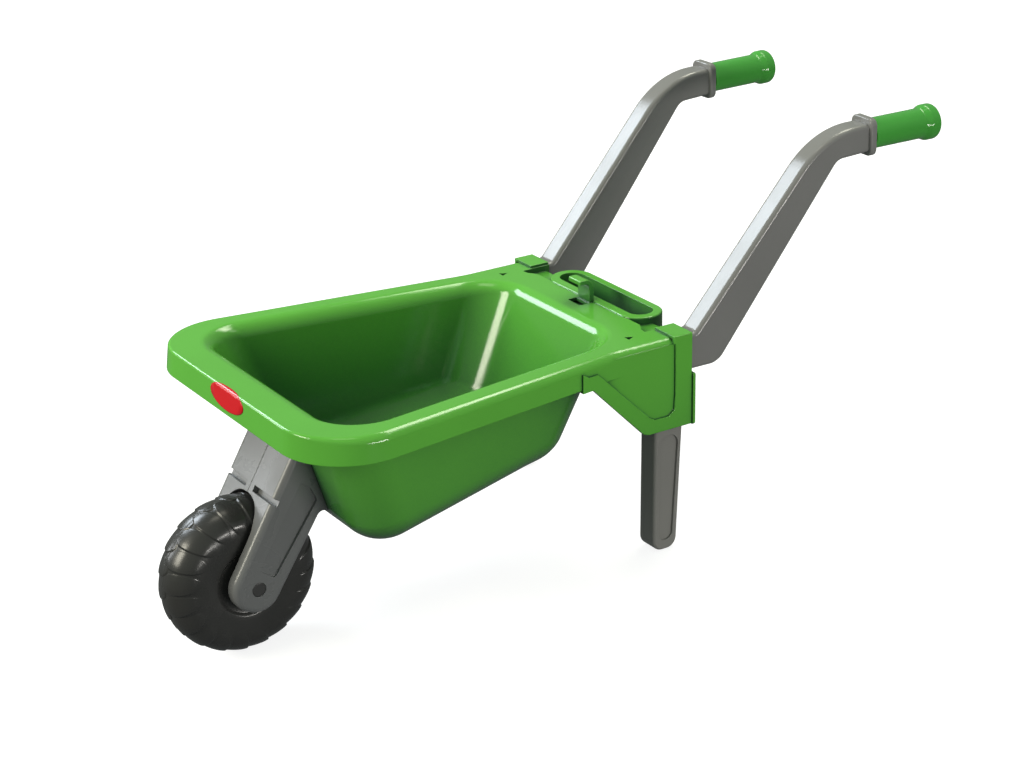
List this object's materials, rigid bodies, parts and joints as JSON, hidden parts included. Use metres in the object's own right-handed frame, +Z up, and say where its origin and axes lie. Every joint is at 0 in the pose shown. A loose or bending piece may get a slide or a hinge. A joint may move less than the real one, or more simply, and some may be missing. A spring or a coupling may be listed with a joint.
{
  "type": "toy wheelbarrow",
  "caption": "Moulded toy wheelbarrow: rimmed tub on a leaning fork with one lugged wheel, two bent handles with sleeve grips and two socketed legs.",
  "frame": {"origin": "on the floor, below the middle of the barrow's bounding box, standing on its wheel and both feet", "axes": "+X to the barrow's right-hand side, -Y towards the wheel, +Y towards the grips, +Z up"},
  "size_m": [0.3408, 0.8124, 0.3594],
  "materials": {
    "tub": "glossy injection-moulded green plastic",
    "grip": "glossy green plastic sleeve",
    "fork": "satin grey moulded plastic",
    "handle": "satin grey blow-moulded plastic",
    "leg": "satin grey moulded plastic",
    "wheel": "semi-gloss black blow-moulded plastic",
    "bush": "natural acetal",
    "pin": "dark plastic pin head",
    "screws": "zinc-plated steel",
    "label": "glossy red film label, blank"
  },
  "bodies": {
    "frame": {"tub": "tub", "front_label": "label", "fork_left": "fork", "fork_right": "fork", "fork_screws": "screws", "fork_mount_screws": "screws", "thrust_washers": "bush", "axle_pin": "pin", "axle_cap": "pin", "handle_left": "handle", "handle_right": "handle", "grip_left": "grip", "grip_right": "grip", "leg_left": "leg", "leg_right": "leg", "socket_cover_left": "tub", "socket_cover_right": "tub", "handle_screws_left": "screws", "handle_screws_right": "screws", "leg_screws_left": "screws", "leg_screws_right": "screws"},
    "wheel": {"wheel": "wheel", "wheel_bush_left": "bush", "wheel_bush_right": "bush"}
  },
  "joints": [
    {"name": "wheel_spin", "type": "hinge", "parent": "frame", "child": "wheel", "pos_m": [0, -0.33124, 0.075], "axis": [1, 0, 0], "continuous": true}
  ]
}
